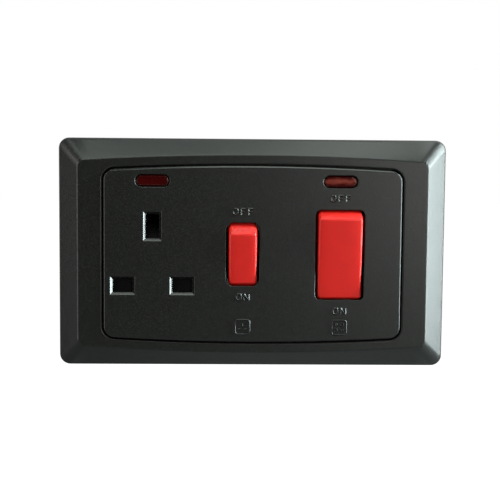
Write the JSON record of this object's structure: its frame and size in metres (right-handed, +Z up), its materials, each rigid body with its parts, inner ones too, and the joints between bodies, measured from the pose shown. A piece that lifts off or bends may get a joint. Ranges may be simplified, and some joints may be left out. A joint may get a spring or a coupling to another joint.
{
  "type": "cooker control unit",
  "caption": "Wall control plate with a switched pin socket, a wide main rocker and indicator windows in a clip-on bowed frame, with see-saw contacts and pillar terminals in its base.",
  "frame": {"origin": "midway between the fixing holes, on the wall plane", "axes": "+X to the right seen from the front, +Y into the wall, +Z up; the face looks along -Y"},
  "size_m": [0.146, 0.0408, 0.086],
  "materials": {
    "graphite_plastic": "satin with a fine metallic fleck",
    "red_plastic": "smooth",
    "base_plastic": "fine spark texture",
    "shutter_plastic": "plain moulded",
    "plunger_plastic": "natural nylon",
    "red_lens": "clear tinted",
    "lamp_glass": "clear",
    "terminal_brass": "machined",
    "contact_copper": "rolled strip",
    "contact_silver": "satin",
    "steel": "zinc plated",
    "spring_steel": "drawn wire",
    "lead_wire": "tinned",
    "resistor_coat": "lacquered"
  },
  "bodies": {
    "housing": {"surround_frame": "graphite_plastic", "front_plate": "graphite_plastic", "rear_base": "base_plastic", "base_screws": "steel", "terminal_screws": "steel", "socket_fulcrum": "contact_copper", "cooker_live_fulcrum": "contact_copper", "cooker_neutral_fulcrum": "contact_copper", "fixed_tips": "contact_silver", "cooker_live_fixed_contact": "contact_copper", "cooker_neutral_fixed_contact": "contact_copper", "socket_live_contact": "contact_copper", "socket_neutral_contact": "contact_copper", "socket_earth_contact": "contact_copper", "live_link": "contact_copper", "neutral_link": "contact_copper", "supply_live_terminal": "terminal_brass", "supply_neutral_terminal": "terminal_brass", "load_live_terminal": "terminal_brass", "load_neutral_terminal": "terminal_brass", "earth_terminal": "terminal_brass", "shutter_retainer": "shutter_plastic", "shutter_spring": "spring_steel", "socket_neon_lens": "red_lens", "cooker_neon_lens": "red_lens", "socket_neon_lamp": "lamp_glass", "cooker_neon_lamp": "lamp_glass", "socket_neon_leads": "lead_wire", "cooker_neon_leads": "lead_wire", "neon_resistors": "resistor_coat"},
    "socket_rocker": {"socket_rocker": "red_plastic", "socket_plunger_spring": "spring_steel"},
    "cooker_rocker": {"cooker_rocker": "red_plastic", "cooker_live_plunger_spring": "spring_steel", "cooker_neutral_plunger_spring": "spring_steel"},
    "socket_plunger": {"socket_plunger": "plunger_plastic"},
    "cooker_live_plunger": {"cooker_live_plunger": "plunger_plastic"},
    "cooker_neutral_plunger": {"cooker_neutral_plunger": "plunger_plastic"},
    "socket_see_saw": {"socket_blade": "contact_copper", "socket_moving_tip": "contact_silver"},
    "cooker_see_saw": {"cooker_live_blade": "contact_copper", "cooker_neutral_blade": "contact_copper", "cooker_moving_tips": "contact_silver"},
    "shutter": {"socket_shutter": "shutter_plastic"}
  },
  "joints": [
    {"name": "socket_rocker_tilt", "type": "hinge", "parent": "housing", "child": "socket_rocker", "pos_m": [-0.0037, -0.0005, 0], "axis": [-1, 0, 0], "range_deg": [0, 18]},
    {"name": "cooker_rocker_tilt", "type": "hinge", "parent": "housing", "child": "cooker_rocker", "pos_m": [0.0326, -0.0005, 0], "axis": [-1, 0, 0], "range_deg": [0, 15]},
    {"name": "socket_blade_tilt", "type": "hinge", "parent": "housing", "child": "socket_see_saw", "pos_m": [-0.0037, 0.0111, 0], "axis": [1, 0, 0], "range_deg": [0, 16]},
    {"name": "cooker_blade_tilt", "type": "hinge", "parent": "housing", "child": "cooker_see_saw", "pos_m": [0.0326, 0.0111, 0], "axis": [1, 0, 0], "range_deg": [0, 16]},
    {"name": "socket_plunger_slide", "type": "slide", "parent": "socket_rocker", "child": "socket_plunger", "axis": [0, -0.9877, -0.1564], "range_m": [0, 0.001], "stiffness_N_per_m": 300, "springref_m": -0.003, "deforming": ["socket_plunger_spring"]},
    {"name": "cooker_live_plunger_slide", "type": "slide", "parent": "cooker_rocker", "child": "cooker_live_plunger", "axis": [0, -0.9914, -0.1305], "range_m": [0, 0.001], "stiffness_N_per_m": 300, "springref_m": -0.003, "deforming": ["cooker_live_plunger_spring"]},
    {"name": "cooker_neutral_plunger_slide", "type": "slide", "parent": "cooker_rocker", "child": "cooker_neutral_plunger", "axis": [0, -0.9914, -0.1305], "range_m": [0, 0.001], "stiffness_N_per_m": 300, "springref_m": -0.003, "deforming": ["cooker_neutral_plunger_spring"]},
    {"name": "shutter_slide", "type": "slide", "parent": "housing", "child": "shutter", "axis": [0, 0, -1], "range_m": [0, 0.006], "stiffness_N_per_m": 150, "springref_m": -0.004, "deforming": ["shutter_spring"]}
  ],
  "couplings": [
    {"joint": "socket_blade_tilt", "follows": "socket_rocker_tilt", "ratio": 0.8888},
    {"joint": "cooker_blade_tilt", "follows": "cooker_rocker_tilt", "ratio": 1.0666}
  ]
}
